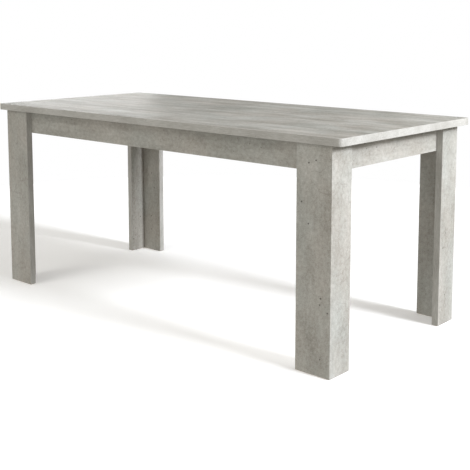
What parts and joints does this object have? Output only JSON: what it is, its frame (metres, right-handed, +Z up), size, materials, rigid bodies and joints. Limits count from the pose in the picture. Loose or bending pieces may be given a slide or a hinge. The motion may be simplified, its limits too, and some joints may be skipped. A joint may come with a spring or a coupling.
{
  "type": "extendable dining table",
  "caption": "Rectangular dining table with L-shaped panel legs, aprons and a top that parts in the middle for a leaf stored in the frame.",
  "frame": {"origin": "on the floor under the centre of the closed table", "axes": "+X along the table towards its right end, +Y across it towards the back, +Z up"},
  "size_m": [1.76, 0.8, 0.76],
  "materials": {
    "concrete_decor_top": "concrete-look melamine, satin",
    "concrete_decor_leg": "concrete-look melamine, matt",
    "concrete_decor_apron": "concrete-look melamine, matt",
    "edge_band": "concrete-look band, matt",
    "glue_block_wood": "sawn pine",
    "runner_beech": "planed beech, waxed",
    "dowel_beech": "fluted beech",
    "ledge_pine": "planed pine",
    "felt": "grey pressed felt",
    "glide_plastic": "dark grey, matt",
    "insert_brass": "machined",
    "bolt_zinc": "bright zinc plate",
    "hardware_zinc": "zinc-plated sheet",
    "screw_zinc": "yellow zinc plate"
  },
  "bodies": {
    "frame": {"back_apron": "concrete_decor_apron", "corner_block_back_left": "glue_block_wood", "corner_block_back_right": "glue_block_wood", "corner_block_front_left": "glue_block_wood", "corner_block_front_right": "glue_block_wood", "corner_block_screws": "screw_zinc", "felt_glide_strips": "felt", "floor_glides": "glide_plastic", "front_apron": "concrete_decor_apron", "guide_beam_back": "runner_beech", "guide_beam_dowels": "dowel_beech", "guide_beam_front": "runner_beech", "leaf_felt_pads": "felt", "leaf_ledge_left": "ledge_pine", "leaf_ledge_right": "ledge_pine", "leaf_stop_blocks": "ledge_pine", "ledge_bracket_screws": "screw_zinc", "ledge_brackets": "hardware_zinc", "left_apron": "concrete_decor_apron", "leg_back_left_face_panel": "concrete_decor_leg", "leg_back_left_side_panel": "concrete_decor_leg", "leg_back_right_face_panel": "concrete_decor_leg", "leg_back_right_side_panel": "concrete_decor_leg", "leg_bolts": "bolt_zinc", "leg_front_left_face_panel": "concrete_decor_leg", "leg_front_left_side_panel": "concrete_decor_leg", "leg_front_right_face_panel": "concrete_decor_leg", "leg_front_right_side_panel": "concrete_decor_leg", "leg_threaded_inserts": "insert_brass", "right_apron": "concrete_decor_apron", "travel_stop_pegs": "dowel_beech"},
    "top_half_left": {"latch_pivot_screws": "screw_zinc", "runner_left_back": "runner_beech", "runner_left_front": "runner_beech", "runner_screws_left": "screw_zinc", "top_board_left": "concrete_decor_top", "top_edging_left": "edge_band"},
    "top_half_right": {"latch_pin_plates": "hardware_zinc", "latch_plate_screws": "screw_zinc", "runner_right_back": "runner_beech", "runner_right_front": "runner_beech", "runner_screws_right": "screw_zinc", "seam_dowels": "dowel_beech", "top_board_right": "concrete_decor_top", "top_edging_right": "edge_band"},
    "extension_leaf": {"leaf_board": "concrete_decor_top", "leaf_edging": "edge_band", "leaf_dowels": "dowel_beech"},
    "latch_front": {"latch_lever_front": "hardware_zinc"},
    "latch_back": {"latch_lever_back": "hardware_zinc"}
  },
  "joints": [
    {"name": "left_half_slide", "type": "slide", "parent": "frame", "child": "top_half_left", "axis": [-1, 0, 0], "range_m": [0, 0.2]},
    {"name": "right_half_slide", "type": "slide", "parent": "frame", "child": "top_half_right", "axis": [1, 0, 0], "range_m": [0, 0.2]},
    {"name": "leaf_lift", "type": "slide", "parent": "frame", "child": "extension_leaf", "axis": [0, 0, 1], "range_m": [0, 0.018]},
    {"name": "front_latch_swing", "type": "hinge", "parent": "top_half_left", "child": "latch_front", "pos_m": [-0.03, -0.15, 0.731], "axis": [0, 0, 1], "range_deg": [-90, 0]},
    {"name": "back_latch_swing", "type": "hinge", "parent": "top_half_left", "child": "latch_back", "pos_m": [-0.03, 0.15, 0.731], "axis": [0, 0, 1], "range_deg": [0, 90]}
  ]
}
